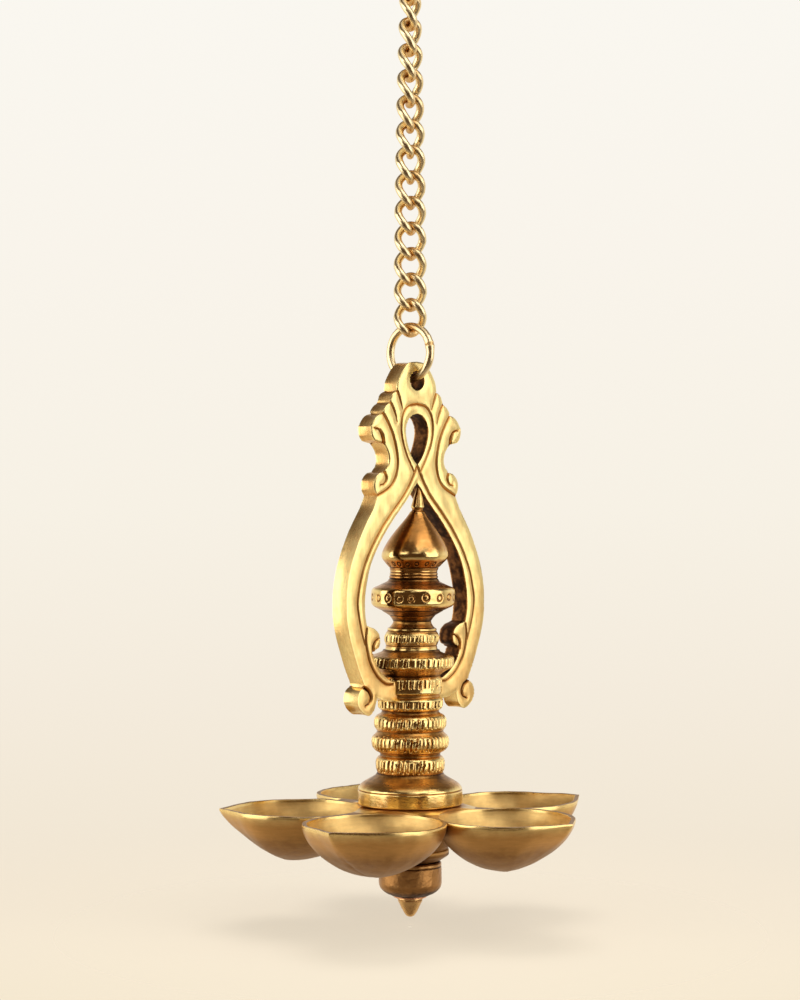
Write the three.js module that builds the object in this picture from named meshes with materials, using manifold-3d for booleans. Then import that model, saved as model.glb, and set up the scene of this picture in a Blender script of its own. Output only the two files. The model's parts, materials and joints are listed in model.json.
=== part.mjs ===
// Hanging five-wick oil lamp in cast and turned brass, on a curb chain.
// Millimetres, +Z up. The origin is the point inside the top of the hook that bears on the ceiling fixing.
// The pierced frame stands in the XZ plane, with its ornamented front towards -Y.

import * as THREE from 'three';
import { mergeVertices } from 'three/addons/utils/BufferGeometryUtils.js';
import Module from 'manifold-3d';

const wasm = await Module();
wasm.setup();

// Clearances
const hangGap = 0.35;          // between a hanging piece and what carries it
const seatGap = 0.1;           // between two pieces that are clamped on the rod
const boreGap = 0.2;           // between the tie rod and the bores that it runs through
const apexGap = 1.6;           // between the finial's point and the top of the frame's window

// Ceiling hook
const hookWire = 3.6;
const hookUpperRadius = 9.2;   // inside of the open crook, over the fixing
const hookLowerRadius = 5.5;   // inside of the closed crook, under which the chain hangs
const hookMouth = 65;          // degrees of the upper circle left open
const hookLowerMouth = 55;     // degrees of the lower circle left open

// Curb chain
const linkCount = 14;
const linkWire = 3.4;
const linkInnerWidth = 8.2;
const linkInnerLength = 12.0;
const crownTwist = 51;         // degrees from a link's middle to each of its crowns
const linkTurn = 6.3;          // degrees that each link hangs turned from the one below
const lowestLinkAngle = -42;   // direction of the lowest link's width, seen from above

// Hanging ring
const ringWire = 3.4;
const ringInnerRadius = 10.3;
const ringAngle = -83.2;       // direction of the ring's width, seen from above

// Tie rod
const rodRadius = 3.0;
const rodInFinial = 12.0;      // how far the rod is screwed into the finial
const rodInTip = 3.2;          // how far it is screwed into the drip tip
const threadEndGap = 0.6;      // space left at the end of each blind bore

// Tray
const cupCount = 5;
const firstCupAngle = 61;      // direction of one cup's point from the lamp's axis
const cupRadius = 31.5;
const cupPitchRadius = 53.5;   // from the lamp's axis to the middle of a cup
const cupPoint = 37.0;         // from the middle of a cup to its point
const cupDepth = 23.8;
const cupWall = 2.2;
const cupSideCurve = 1.75;     // exponent of the bowl's section: 2 is an ellipse and 1 a straight slope
const cupPointCurve = 1.35;
const deckThickness = 3.0;
const padHeight = 1.5;         // raised seat of the base on the deck
const padRadius = 21.0;
const padFootRadius = 30.0;
const hubRadius = 17.6;
const hubDepth = 21.4;
const hubFootRadius = 13.8;
const hubFootDepth = 24.4;

// Turned sections: heights
const baseHeight = 14.2;
const stemLowerHeight = 19.2;
const stemUpperHeight = 13.7;
const eyeHeight = 11.2;
const discHeight = 11.8;
const neckHeight = 12.8;
const punchedHeight = 23.1;
const finialHeight = 38.5;
const knobHeight = 15.6;
const washerHeight = 0.8;
const tipHeight = 9.0;

// Turned sections: radii
const baseRadius = 23.8;
const baseRimHeight = 7.3;
const baseNeckRadius = 15.1;
const ringOneRadius = 15.8;
const ringTwoRadius = 17.9;
const ringThreeRadius = 16.6;
const ringFourRadius = 14.9;
const eyeRadius = 14.2;
const discRadius = 19.7;
const discNeckRadius = 12.8;
const neckRingRadius = 12.5;
const neckRadius = 8.7;
const punchedRadius = 19.2;
const collarRadius = 11.2;
const finialRadius = 15.3;
const finialTipRadius = 2.9;
const knobRadius = 14.4;
const washerRadius = 7.5;
const tipRadius = 5.9;

// Pierced frame
const frameThickness = 10.2;
const frameHoleRadius = 4.5;
const frameHoleAboveApex = 46.2;
const crownBar = 4.0;          // left over the hole
const headHalfWidth = 27.2;    // over the two lowest leaves of the head
const archHalfWidth = 42.4;
const archBar = 10.9;          // width of the bar at its widest point
const bellyDrop = 6.0;         // from the middle of the window down to its widest point
const footHalfWidth = 36.0;    // over the two foot scrolls
const innerScrollHeight = 35.0;   // from the eye's foot to the top of the scrolls inside the window
const footOverlap = 2.0;       // how far the foot of the frame runs into the eye
const eyeGroove = 0.7;

// Facets
const turnedSides = 26;
const wireSides = 8;
const linkSteps = 18;
const cupSides = 30;
const cupRings = 6;
const holeSides = 20;

const brass = { color: 0xb58a3c, metalness: 0.9, roughness: 0.34 };
const paleBrass = { color: 0xd2ae62, metalness: 0.9, roughness: 0.3 };
const darkBrass = { color: 0x96702f, metalness: 0.9, roughness: 0.38 };
const copper = { color: 0xa8603c, metalness: 0.9, roughness: 0.4 };

const degrees = THREE.MathUtils.degToRad;

function solidOf(geometry) {
  const bare = geometry.clone();
  bare.deleteAttribute('normal');
  bare.deleteAttribute('uv');
  const merged = mergeVertices(bare, 1e-4);
  const corners = merged.index.array;
  const kept = [];
  for (let i = 0; i < corners.length; i += 3) {
    const [a, b, c] = [corners[i], corners[i + 1], corners[i + 2]];
    if (a !== b && b !== c && c !== a) kept.push(a, b, c);
  }
  return new wasm.Manifold(new wasm.Mesh({
    numProp: 3,
    vertProperties: new Float32Array(merged.attributes.position.array),
    triVerts: new Uint32Array(kept),
  }));
}

function geometryOf(solid) {
  const { vertProperties, triVerts } = solid.getMesh();
  const geometry = new THREE.BufferGeometry();
  geometry.setAttribute('position', new THREE.BufferAttribute(new Float32Array(vertProperties), 3));
  geometry.setIndex(new THREE.BufferAttribute(new Uint32Array(triVerts), 1));
  geometry.computeVertexNormals();
  return geometry;
}

function piece(name, geometry, look) {
  const mesh = new THREE.Mesh(geometryOf(solidOf(geometry)), new THREE.MeshStandardMaterial(look));
  mesh.name = name;
  return mesh;
}

// A profile is a closed list of [radius, height], counterclockwise, or one that starts and ends on the axis.
function turned(profile) {
  const points = profile.map(([radius, height]) => new THREE.Vector2(radius, height));
  return new THREE.LatheGeometry(points, turnedSides).rotateX(Math.PI / 2);
}

// A turned section with a bore along its whole height. The outline runs from its foot to its top.
function bored(outline, boreRadius) {
  const foot = outline[0][1];
  const top = outline[outline.length - 1][1];
  return turned([[boreRadius, foot], ...outline, [boreRadius, top], [boreRadius, foot]]);
}

// The corners of a round outline, counterclockwise
function circle(x, y, radius, sides) {
  const corners = [];
  for (let side = 0; side < sides; side += 1) {
    const angle = 2 * Math.PI * side / sides;
    corners.push(new THREE.Vector2(x + radius * Math.cos(angle), y + radius * Math.sin(angle)));
  }
  return corners;
}

// Heights of the chain's pieces, down from the origin
const hookUpperLine = hookUpperRadius + hookWire / 2;
const hookLowerLine = hookLowerRadius + hookWire / 2;
const hookUpperCentre = -hookUpperRadius;
const hookLowerCentre = hookUpperCentre - hookUpperLine - hookLowerLine;
const linkHalfWidth = (linkInnerWidth + linkWire) / 2;
const linkHalfHeight = (linkInnerLength + linkWire) / 2;
const linkPitch = 2 * linkHalfHeight - linkWire - hangGap;
const topLinkCentre = hookLowerCentre - hookLowerRadius + linkWire / 2 + hangGap - linkHalfHeight;
const lowestLinkCentre = topLinkCentre - (linkCount - 1) * linkPitch;
const ringLine = ringInnerRadius + ringWire / 2;
const ringCentre = lowestLinkCentre - linkHalfHeight + (linkWire + ringWire) / 2 + hangGap - ringLine;

// The hole's top edge rests on the inside of the ring at the two faces of the frame.
const holeTop = ringCentre - Math.sqrt((ringInnerRadius - hangGap) ** 2 - (frameThickness / 2) ** 2);
const holeCentre = holeTop - frameHoleRadius;

// Heights of the lamp's pieces, up from the rim of the tray
const baseFoot = padHeight + seatGap;
const stemLowerFoot = baseFoot + baseHeight + seatGap;
const stemUpperFoot = stemLowerFoot + stemLowerHeight + seatGap;
const eyeFoot = stemUpperFoot + stemUpperHeight + seatGap;
const discFoot = eyeFoot + eyeHeight + seatGap;
const neckFoot = discFoot + discHeight + seatGap;
const punchedFoot = neckFoot + neckHeight + seatGap;
const finialFoot = punchedFoot + punchedHeight + seatGap;
const finialTop = finialFoot + finialHeight;
const knobTop = -hubFootDepth - seatGap;
const washerTop = knobTop - knobHeight - seatGap;
const tipTop = washerTop - washerHeight - seatGap;
const apex = finialTop + apexGap;
const headHeight = frameHoleAboveApex + frameHoleRadius + crownBar;
const belly = (apex + eyeFoot) / 2 - bellyDrop;
const rimLevel = holeCentre - apex - frameHoleAboveApex;
const bore = rodRadius + boreGap;

// One path round an S: the open crook above, the nearly closed one below.
class HookPath extends THREE.Curve {
  getPoint(t, target = new THREE.Vector3()) {
    const upperSweep = 360 - 90 - hookMouth + 45;
    const lowerSweep = 360 - hookLowerMouth;
    const upperLength = upperSweep * hookUpperLine;
    const length = upperLength + lowerSweep * hookLowerLine;
    const along = t * length;
    if (along < upperLength) {
      const angle = degrees(270 - upperSweep + along / hookUpperLine);
      return target.set(hookUpperLine * Math.cos(angle), 0, hookUpperCentre + hookUpperLine * Math.sin(angle));
    }
    const angle = degrees(90 - (along - upperLength) / hookLowerLine);
    return target.set(hookLowerLine * Math.cos(angle), 0, hookLowerCentre + hookLowerLine * Math.sin(angle));
  }
}

// An oval whose two crowns are turned to opposite sides, as in a curb chain
class CurbLinkPath extends THREE.Curve {
  getPoint(t, target = new THREE.Vector3()) {
    const angle = 2 * Math.PI * t;
    const reach = linkHalfWidth * Math.cos(angle);
    const height = linkHalfHeight * Math.sin(angle);
    const turn = -degrees(crownTwist) * height / linkHalfHeight;
    return target.set(reach * Math.cos(turn), reach * Math.sin(turn), height);
  }
}

function ceilingHook() {
  const steps = 36;
  const section = new THREE.Shape(circle(0, 0, hookWire / 2, wireSides));
  const geometry = new THREE.ExtrudeGeometry(section, { steps, extrudePath: new HookPath() });
  const mesh = piece('ceiling_hook', geometry, brass);
  const topCrown = lowestLinkAngle + (linkCount - 1) * linkTurn - crownTwist;
  mesh.rotation.z = degrees(topCrown + 90);
  return mesh;
}

function chain() {
  const links = new THREE.Group();
  for (let index = 0; index < linkCount; index += 1) {
    const name = `chain_link_${String(index + 1).padStart(2, '0')}`;
    const tube = new THREE.TubeGeometry(new CurbLinkPath(), linkSteps, linkWire / 2, wireSides, true);
    const link = piece(name, tube, brass);
    link.position.z = lowestLinkCentre + index * linkPitch;
    link.rotation.z = degrees(lowestLinkAngle + index * linkTurn);
    links.add(link);
  }
  return links;
}

function hangingRing() {
  const steps = 28;
  const ring = new THREE.TorusGeometry(ringLine, ringWire / 2, wireSides, steps).rotateX(Math.PI / 2);
  const mesh = piece('hanging_ring', ring, brass);
  mesh.position.z = ringCentre;
  mesh.rotation.z = degrees(ringAngle);
  return mesh;
}

// Points of the frame's edges, as shares of the head's half width and height over the window's apex, and of
// the foot's half width and the inner scroll's height over the foot of the eye
const head = (across, up) => [headHalfWidth * across, apex + headHeight * up];
const foot = (across, up) => [footHalfWidth * across, eyeFoot + innerScrollHeight * up];

// The right half of the frame's outer edge, from its crown to the eye. Each stretch is one smooth curve, and
// two stretches meet at a corner.
function outerStretches() {
  const shoulder = belly + (apex - belly) * 0.385;
  const hip = belly - (belly - eyeFoot) * 0.34;
  return [
    [head(0, 1), head(0.176, 0.987), head(0.301, 0.934), head(0.412, 0.835), head(0.449, 0.75)],
    [head(0.449, 0.75), head(0.544, 0.72), head(0.599, 0.651)],
    [head(0.599, 0.651), head(0.71, 0.616), head(0.761, 0.559)],
    [head(0.761, 0.559), head(0.919, 0.527), head(1, 0.444), head(0.941, 0.358), head(0.794, 0.324)],
    [head(0.794, 0.324), head(0.662, 0.271), head(0.636, 0.183), head(0.695, 0.101), head(0.757, 0.066)],
    [head(0.757, 0.066), head(0.926, 0.018), head(0.956, -0.042), head(0.882, -0.117)],
    [
      head(0.882, -0.117),
      head(1.099, -0.311),
      [archHalfWidth * 0.873, shoulder],
      [archHalfWidth, belly],
      [archHalfWidth * 0.946, hip],
      foot(0.956, 0.397),
      foot(0.894, 0.22),
    ],
    [foot(0.894, 0.22), foot(0.981, 0.16), foot(1, 0.051), foot(0.922, -0.089), foot(0.811, -0.149),
      foot(0.719, -0.069), foot(0.678, 0.08)],
    [foot(0.678, 0.08), foot(0.569, 0.026), [eyeRadius - footOverlap, eyeFoot + 0.3]],
  ];
}

// The right half of the window, from its apex down to the foot of the frame, which runs into the eye
function windowStretches() {
  const innerHalfWidth = archHalfWidth - archBar;
  return [
    [
      head(0, 0),
      head(0.228, -0.148),
      head(0.662, -0.389),
      [innerHalfWidth * 0.886, belly + (apex - belly) * 0.3],
      [innerHalfWidth, belly],
      foot(0.839, 1),
    ],
    [foot(0.839, 1), foot(0.719, 0.954), foot(0.625, 0.791), foot(0.656, 0.694), foot(0.733, 0.669)],
    [
      foot(0.733, 0.669),
      foot(0.706, 0.52),
      foot(0.6, 0.383),
      foot(0.458, 0.283),
      [eyeRadius - footOverlap, eyeFoot + innerScrollHeight * 0.263],
    ],
  ];
}

const tearStretch = [head(0, 0.576), head(0.169, 0.545), head(0.257, 0.42), head(0.188, 0.283), head(0, 0.143)];

// Follows the stretches down the -X side and back up the +X side, so the whole path runs counterclockwise.
function followBothSides(path, stretches) {
  const follow = (knots, side) => {
    path.splineThru(knots.slice(1).map(([x, z]) => new THREE.Vector2(side * x, z)));
  };
  const [startX, startZ] = stretches[0][0];
  const [endX, endZ] = stretches.at(-1).at(-1);
  path.moveTo(startX, startZ);
  for (const knots of stretches) follow(knots, -1);
  if (endX > 0) path.lineTo(endX, endZ);
  for (const knots of [...stretches].reverse()) follow([...knots].reverse(), 1);
}

function framePlate() {
  const outline = new THREE.Shape();
  followBothSides(outline, outerStretches());

  const windowHole = new THREE.Path();
  followBothSides(windowHole, windowStretches());

  const tearHole = new THREE.Path();
  followBothSides(tearHole, [tearStretch]);

  const ringHole = new THREE.Path(circle(0, apex + frameHoleAboveApex, frameHoleRadius, holeSides));

  outline.holes.push(windowHole, tearHole, ringHole);
  const plate = new THREE.ExtrudeGeometry(outline, {
    depth: frameThickness, steps: 1, curveSegments: 2, bevelEnabled: false,
  });
  return plate.translate(0, 0, -frameThickness / 2).rotateX(Math.PI / 2);
}

function piercedFrame() {
  const at = (share) => eyeFoot + eyeHeight * share;
  const eye = turned([
    [0, at(0)],
    [eyeRadius, at(0)],
    [eyeRadius, at(0.21)],
    [eyeRadius - eyeGroove, at(0.28)],
    [eyeRadius, at(0.41)],
    [eyeRadius, at(0.84)],
    [eyeRadius - eyeGroove, at(1)],
    [0, at(1)],
  ]);
  const overrun = 1;
  const drill = turned([
    [0, eyeFoot - overrun],
    [bore, eyeFoot - overrun],
    [bore, eyeFoot + eyeHeight + overrun],
    [0, eyeFoot + eyeHeight + overrun],
  ]);
  const solid = solidOf(framePlate()).add(solidOf(eye)).subtract(solidOf(drill));
  return piece('pierced_frame', geometryOf(solid), paleBrass);
}

// Distance from the middle of a cup to its rim, where 0 degrees points away from the lamp's axis
function cupReach(angle, radius, point) {
  const tangent = Math.acos(radius / point);
  const away = Math.abs(Math.atan2(Math.sin(angle), Math.cos(angle)));
  return away < tangent ? radius / Math.cos(tangent - away) : radius;
}

// A bowl with its rim at height 0, and straight walls above that if it is raised
function bowl(radius, point, depth, raised) {
  const pointHalf = Math.acos(radius / point);
  const positions = [];
  const rings = [];
  const addRing = (shrink, height) => {
    const ring = [];
    for (let side = 0; side < cupSides; side += 1) {
      const angle = 2 * Math.PI * side / cupSides;
      const away = Math.abs(Math.atan2(Math.sin(angle), Math.cos(angle)));
      const nose = Math.max(0, 1 - away / (1.6 * pointHalf));
      const curve = THREE.MathUtils.lerp(cupSideCurve, cupPointCurve, nose);
      const reach = cupReach(angle, radius, point) * (1 - shrink ** curve) ** (1 / curve);
      ring.push(positions.length / 3);
      positions.push(reach * Math.cos(angle), reach * Math.sin(angle), height);
    }
    rings.push(ring);
  };
  if (raised > 0) addRing(0, raised);
  for (let level = 0; level < cupRings; level += 1) {
    const shrink = Math.sin(Math.PI / 2 * level / cupRings);
    addRing(shrink, -depth * shrink);
  }
  const floor = positions.length / 3;
  positions.push(0, 0, -depth);
  const faces = [];
  for (let level = 0; level < rings.length - 1; level += 1) {
    for (let side = 0; side < cupSides; side += 1) {
      const next = (side + 1) % cupSides;
      const [a, b] = [rings[level][side], rings[level][next]];
      const [c, d] = [rings[level + 1][side], rings[level + 1][next]];
      faces.push(a, c, b, b, c, d);
    }
  }
  const last = rings[rings.length - 1];
  for (let side = 0; side < cupSides; side += 1) {
    const next = (side + 1) % cupSides;
    faces.push(last[side], floor, last[next]);
    if (side > 0 && side < cupSides - 1) faces.push(rings[0][0], rings[0][side], rings[0][next]);
  }
  const geometry = new THREE.BufferGeometry();
  geometry.setAttribute('position', new THREE.Float32BufferAttribute(positions, 3));
  geometry.setIndex(faces);
  return geometry;
}

function oilTray() {
  const overrun = 1;
  const webRadius = cupPitchRadius * Math.cos(Math.PI / cupCount) - 0.8;
  let body = solidOf(turned([
    [0, -hubFootDepth],
    [hubFootRadius, -hubFootDepth],
    [hubRadius, -hubDepth],
    [hubRadius, -deckThickness],
    [webRadius, -deckThickness],
    [webRadius, 0],
    [padFootRadius, 0],
    [padRadius, padHeight],
    [0, padHeight],
  ]));
  const hollows = [];
  for (let cup = 0; cup < cupCount; cup += 1) {
    const angle = degrees(firstCupAngle) + 2 * Math.PI * cup / cupCount;
    const place = (geometry) => solidOf(geometry.translate(cupPitchRadius, 0, 0).rotateZ(angle));
    body = body.add(place(bowl(cupRadius, cupPoint, cupDepth, 0)));
    const innerPoint = cupPoint - cupWall * cupPoint / cupRadius;
    hollows.push(place(bowl(cupRadius - cupWall, innerPoint, cupDepth - cupWall, padHeight + overrun)));
  }
  for (const hollow of hollows) body = body.subtract(hollow);
  const drill = turned([
    [0, -hubFootDepth - overrun],
    [bore, -hubFootDepth - overrun],
    [bore, padHeight + overrun],
    [0, padHeight + overrun],
  ]);
  return piece('oil_tray', geometryOf(body.subtract(solidOf(drill))), brass);
}

function baseFlare() {
  const slope = (share) => baseNeckRadius + (baseRadius - baseNeckRadius) * share;
  const rise = (share) => baseFoot + baseRimHeight + (baseHeight - baseRimHeight) * share;
  const outline = [
    [baseRadius, baseFoot],
    [baseRadius, baseFoot + baseRimHeight],
    [slope(0.86), rise(0.24)],
    [slope(0.4), rise(0.62)],
    [slope(0.12), rise(0.82)],
    [baseNeckRadius, baseFoot + baseHeight],
  ];
  return piece('base_flare', bored(outline, bore), brass);
}

function stemLower() {
  const at = (share) => stemLowerFoot + stemLowerHeight * share;
  const outline = [
    [ringOneRadius - 0.8, at(0)],
    [ringOneRadius, at(0.17)],
    [ringOneRadius, at(0.29)],
    [ringOneRadius - 0.5, at(0.37)],
    [ringOneRadius - 2.3, at(0.44)],
    [ringTwoRadius - 2.8, at(0.49)],
    [ringTwoRadius - 0.5, at(0.61)],
    [ringTwoRadius, at(0.77)],
    [ringTwoRadius - 0.5, at(0.87)],
    [ringTwoRadius - 2.4, at(0.96)],
    [ringTwoRadius - 2.8, at(1)],
  ];
  return piece('stem_lower', bored(outline, bore), brass);
}

function stemUpper() {
  const at = (share) => stemUpperFoot + stemUpperHeight * share;
  const outline = [
    [ringThreeRadius - 1.3, at(0)],
    [ringThreeRadius - 0.1, at(0.2)],
    [ringThreeRadius, at(0.36)],
    [ringThreeRadius - 1.1, at(0.53)],
    [ringFourRadius - 1.9, at(0.66)],
    [ringFourRadius - 0.7, at(0.76)],
    [ringFourRadius, at(0.93)],
    [ringFourRadius - 0.4, at(1)],
  ];
  return piece('stem_upper', bored(outline, bore), brass);
}

function knurledDisc() {
  const at = (share) => discFoot + discHeight * share;
  const outline = [
    [discNeckRadius + 0.9, at(0)],
    [discRadius - 2.8, at(0.22)],
    [discRadius, at(0.38)],
    [discRadius, at(0.69)],
    [discRadius - 1.9, at(0.77)],
    [discNeckRadius + 0.5, at(0.94)],
    [discNeckRadius, at(1)],
  ];
  return piece('knurled_disc', bored(outline, bore), brass);
}

function knurledNeck() {
  const at = (share) => neckFoot + neckHeight * share;
  const outline = [
    [neckRingRadius - 0.5, at(0)],
    [neckRingRadius - 0.8, at(0.1)],
    [neckRingRadius, at(0.32)],
    [neckRingRadius, at(0.44)],
    [neckRingRadius - 1.3, at(0.74)],
    [neckRadius, at(0.95)],
    [neckRadius, at(1)],
  ];
  return piece('knurled_neck', bored(outline, bore), brass);
}

function punchedDisc() {
  const at = (share) => punchedFoot + punchedHeight * share;
  const outline = [
    [neckRadius, at(0)],
    [neckRadius + 2.7, at(0.14)],
    [punchedRadius - 4.1, at(0.22)],
    [punchedRadius - 0.9, at(0.29)],
    [punchedRadius, at(0.35)],
    [punchedRadius, at(0.61)],
    [punchedRadius - 0.5, at(0.65)],
    [collarRadius + 0.1, at(0.79)],
    [collarRadius, at(0.88)],
    [collarRadius - 0.5, at(1)],
  ];
  return piece('punched_disc', bored(outline, bore), brass);
}

function finial() {
  const at = (share) => finialFoot + finialHeight * share;
  const blind = finialFoot + rodInFinial + threadEndGap;
  return piece('finial', turned([
    [0, blind],
    [bore, blind],
    [bore, finialFoot],
    [collarRadius - 0.2, finialFoot],
    [finialRadius, at(0.15)],
    [finialRadius - 0.5, at(0.19)],
    [finialRadius * 0.86, at(0.26)],
    [finialRadius * 0.63, at(0.41)],
    [finialRadius * 0.36, at(0.57)],
    [finialTipRadius, at(0.7)],
    [finialTipRadius - 0.5, at(0.72)],
    [finialTipRadius, at(0.75)],
    [0, finialTop],
  ]), brass);
}

function bottomKnob() {
  const foot = knobTop - knobHeight;
  const outline = [
    [washerRadius + 1.2, foot],
    [knobRadius - 1.4, foot + knobHeight * 0.16],
    [knobRadius, foot + knobHeight * 0.33],
    [knobRadius, knobTop - 0.5],
    [knobRadius - 0.6, knobTop],
  ];
  return piece('bottom_knob', bored(outline, bore), darkBrass);
}

function tipWasher() {
  const outline = [[washerRadius, washerTop - washerHeight], [washerRadius, washerTop]];
  return piece('tip_washer', bored(outline, bore), copper);
}

function dripNut() {
  const blind = tipTop - rodInTip - threadEndGap;
  const foot = tipTop - tipHeight;
  return piece('drip_nut', turned([
    [0, foot],
    [tipRadius * 0.38, foot + 0.5],
    [tipRadius * 0.58, foot + tipHeight * 0.22],
    [tipRadius * 0.84, foot + tipHeight * 0.66],
    [tipRadius, tipTop],
    [bore, tipTop],
    [bore, blind],
    [0, blind],
  ]), darkBrass);
}

function tieRod() {
  const foot = tipTop - rodInTip;
  const top = finialFoot + rodInFinial;
  return piece('tie_rod', turned([[0, foot], [rodRadius, foot], [rodRadius, top], [0, top]]), darkBrass);
}

function lamp() {
  const body = new THREE.Group();
  body.position.z = rimLevel;
  body.add(
    piercedFrame(), finial(), punchedDisc(), knurledNeck(), knurledDisc(), stemUpper(), stemLower(),
    baseFlare(), oilTray(), bottomKnob(), tipWasher(), dripNut(), tieRod(),
  );
  return body;
}

const group = new THREE.Group();
group.add(ceilingHook(), chain(), hangingRing(), lamp());

export default group;
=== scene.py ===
"""Hanging five-wick oil lamp in cast and turned brass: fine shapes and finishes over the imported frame."""

import json
import math

import bmesh
import bpy
import numpy as np
from mathutils import Matrix, Vector
from mathutils.geometry import delaunay_2d_cdt
from mathutils.kdtree import KDTree

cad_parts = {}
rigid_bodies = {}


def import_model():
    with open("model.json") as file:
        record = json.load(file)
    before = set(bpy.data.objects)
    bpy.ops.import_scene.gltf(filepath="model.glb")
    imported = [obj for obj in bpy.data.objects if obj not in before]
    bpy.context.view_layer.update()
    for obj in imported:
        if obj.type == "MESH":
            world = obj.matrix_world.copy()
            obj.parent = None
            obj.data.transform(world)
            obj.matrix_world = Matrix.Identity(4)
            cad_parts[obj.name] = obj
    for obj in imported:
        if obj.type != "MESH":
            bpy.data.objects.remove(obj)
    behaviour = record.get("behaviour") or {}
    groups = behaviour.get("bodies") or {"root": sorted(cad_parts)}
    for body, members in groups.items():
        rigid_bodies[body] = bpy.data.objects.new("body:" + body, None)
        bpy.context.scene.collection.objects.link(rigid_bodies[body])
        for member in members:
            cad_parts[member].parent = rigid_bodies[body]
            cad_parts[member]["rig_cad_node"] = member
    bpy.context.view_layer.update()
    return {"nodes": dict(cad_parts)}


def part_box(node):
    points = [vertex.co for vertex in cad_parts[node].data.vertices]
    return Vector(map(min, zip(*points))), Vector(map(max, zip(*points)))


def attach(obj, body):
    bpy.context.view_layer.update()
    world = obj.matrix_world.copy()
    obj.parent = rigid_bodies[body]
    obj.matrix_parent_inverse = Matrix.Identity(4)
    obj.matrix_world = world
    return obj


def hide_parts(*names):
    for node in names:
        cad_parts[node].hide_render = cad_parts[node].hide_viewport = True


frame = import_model()

MM = 0.001
TURN = 2 * math.pi

# The camera's direction over the floor, and where right is in the picture
VIEW_ANGLE = math.radians(42)
AWAY = Vector((math.sin(VIEW_ANGLE), math.cos(VIEW_ANGLE), 0))
RIGHT = Vector((math.cos(VIEW_ANGLE), -math.sin(VIEW_ANGLE), 0))


def box_mm(node):
    """Lowest and highest corner of a CAD node in millimetres"""
    low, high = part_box(node)
    return np.array(low) / MM, np.array(high) / MM


def turned_size(node):
    """Foot, height and radius of a turned CAD node in millimetres"""
    low, high = box_mm(node)
    return low[2], high[2] - low[2], max(high[0] - low[0], high[1] - low[1]) / 2


ROD_RADIUS = turned_size("tie_rod")[2]
BORE = ROD_RADIUS + 0.2
PAD_HEIGHT = 1.5  # raised seat of the base, above the rim of the tray
EYE_FOOT, EYE_HEIGHT = 49.0, 11.2  # of the frame's eye, above the rim
RIM = box_mm("oil_tray")[1][2] - PAD_HEIGHT  # height of the tray's rim


# Shapes

def circle(count):
    """Angles evenly spaced round a circle"""
    return np.arange(count) * TURN / count


def half_turn(angle):
    """The same angle, between minus and plus half a turn"""
    return np.angle(np.exp(1j * angle))


def hump(off, width):
    """1 where off is 0, falling smoothly to nothing over about the width"""
    return np.exp(-(off / width) ** 2)


def polar(reach, angle, height):
    """Points at a reach from the axis, an angle round it and a height"""
    return np.stack(np.broadcast_arrays(reach * np.cos(angle), reach * np.sin(angle), height), -1)


def turned_about(points, angle, height=0):
    """Points turned about the upright axis and lifted"""
    return points @ np.array(Matrix.Rotation(angle, 3, "Z")).T + [0, 0, height]


def distance_along(path):
    return np.concatenate([[0], np.cumsum(np.linalg.norm(np.diff(path, axis=0), axis=1))])


def ahead_along(path, closed):
    """Unit vectors along a path at each of its points"""
    ahead = np.roll(path, -1, 0) - np.roll(path, 1, 0)
    if not closed:
        ahead[0], ahead[-1] = path[1] - path[0], path[-1] - path[-2]
    return ahead / np.linalg.norm(ahead, axis=1)[:, None]


def grid_faces(rows, columns, close_rows=False):
    """Quads over rings of points, listed ring after ring. The last ring may join the first."""
    row, column = np.meshgrid(np.arange(rows if close_rows else rows - 1), np.arange(columns), indexing="ij")
    next_row, next_column = (row + 1) % rows, (column + 1) % columns
    corners = [row * columns + column, row * columns + next_column,
               next_row * columns + next_column, next_row * columns + column]
    return np.stack(corners, -1).reshape(-1, 4)


def spline(knots, step):
    """A smooth curve through the knots, as points about a step apart."""
    knots = np.asarray(knots, float)
    padded = np.vstack([2 * knots[0] - knots[1], knots, 2 * knots[-1] - knots[-2]])
    points = []
    for before, start, end, after in zip(padded, padded[1:], padded[2:], padded[3:]):
        count = max(1, int(np.ceil(np.linalg.norm(end - start) / step)))
        t = np.arange(count)[:, None] / count
        points.append(0.5 * (2 * start + (end - before) * t
                             + (2 * before - 5 * start + 4 * end - after) * t ** 2
                             + (3 * start - before - 3 * end + after) * t ** 3))
    return np.vstack([*points, knots[-1:]])


def rounded(corners, step):
    """A profile through rounded corners of (radius, height, fillet), as points at most a step apart"""
    corners = np.asarray(corners, float)
    path = [corners[0, :2]]
    for before, corner, after in zip(corners, corners[1:], corners[2:]):
        point, fillet = corner[:2], corner[2]
        into, out = before[:2] - point, after[:2] - point
        reach = min(fillet, np.linalg.norm(into) * 0.49, np.linalg.norm(out) * 0.49)
        start, end = point + into / np.linalg.norm(into) * reach, point + out / np.linalg.norm(out) * reach
        t = np.linspace(0, 1, 5)[:, None]
        path.extend((1 - t) ** 2 * start + 2 * t * (1 - t) * point + t ** 2 * end)
    path.append(corners[-1, :2])
    fine = [path[0]]
    for start, end in zip(path, path[1:]):
        count = max(1, int(np.ceil(np.linalg.norm(end - start) / step)))
        fine.extend(start + (end - start) * k / count for k in range(1, count + 1))
    return np.array(fine)


def wobble(points, length, size, seed):
    """Smooth random offsets of about the given size, which change over the given length"""
    rng = np.random.default_rng(seed)
    waves = rng.normal(0, TURN / length / 1.7, (9, 3))
    phases = rng.uniform(0, TURN, (9, 3))
    angle = points @ waves.T
    return np.stack([np.sin(angle + phases[:, axis]).sum(1) for axis in range(3)], 1) * size / 3


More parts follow.
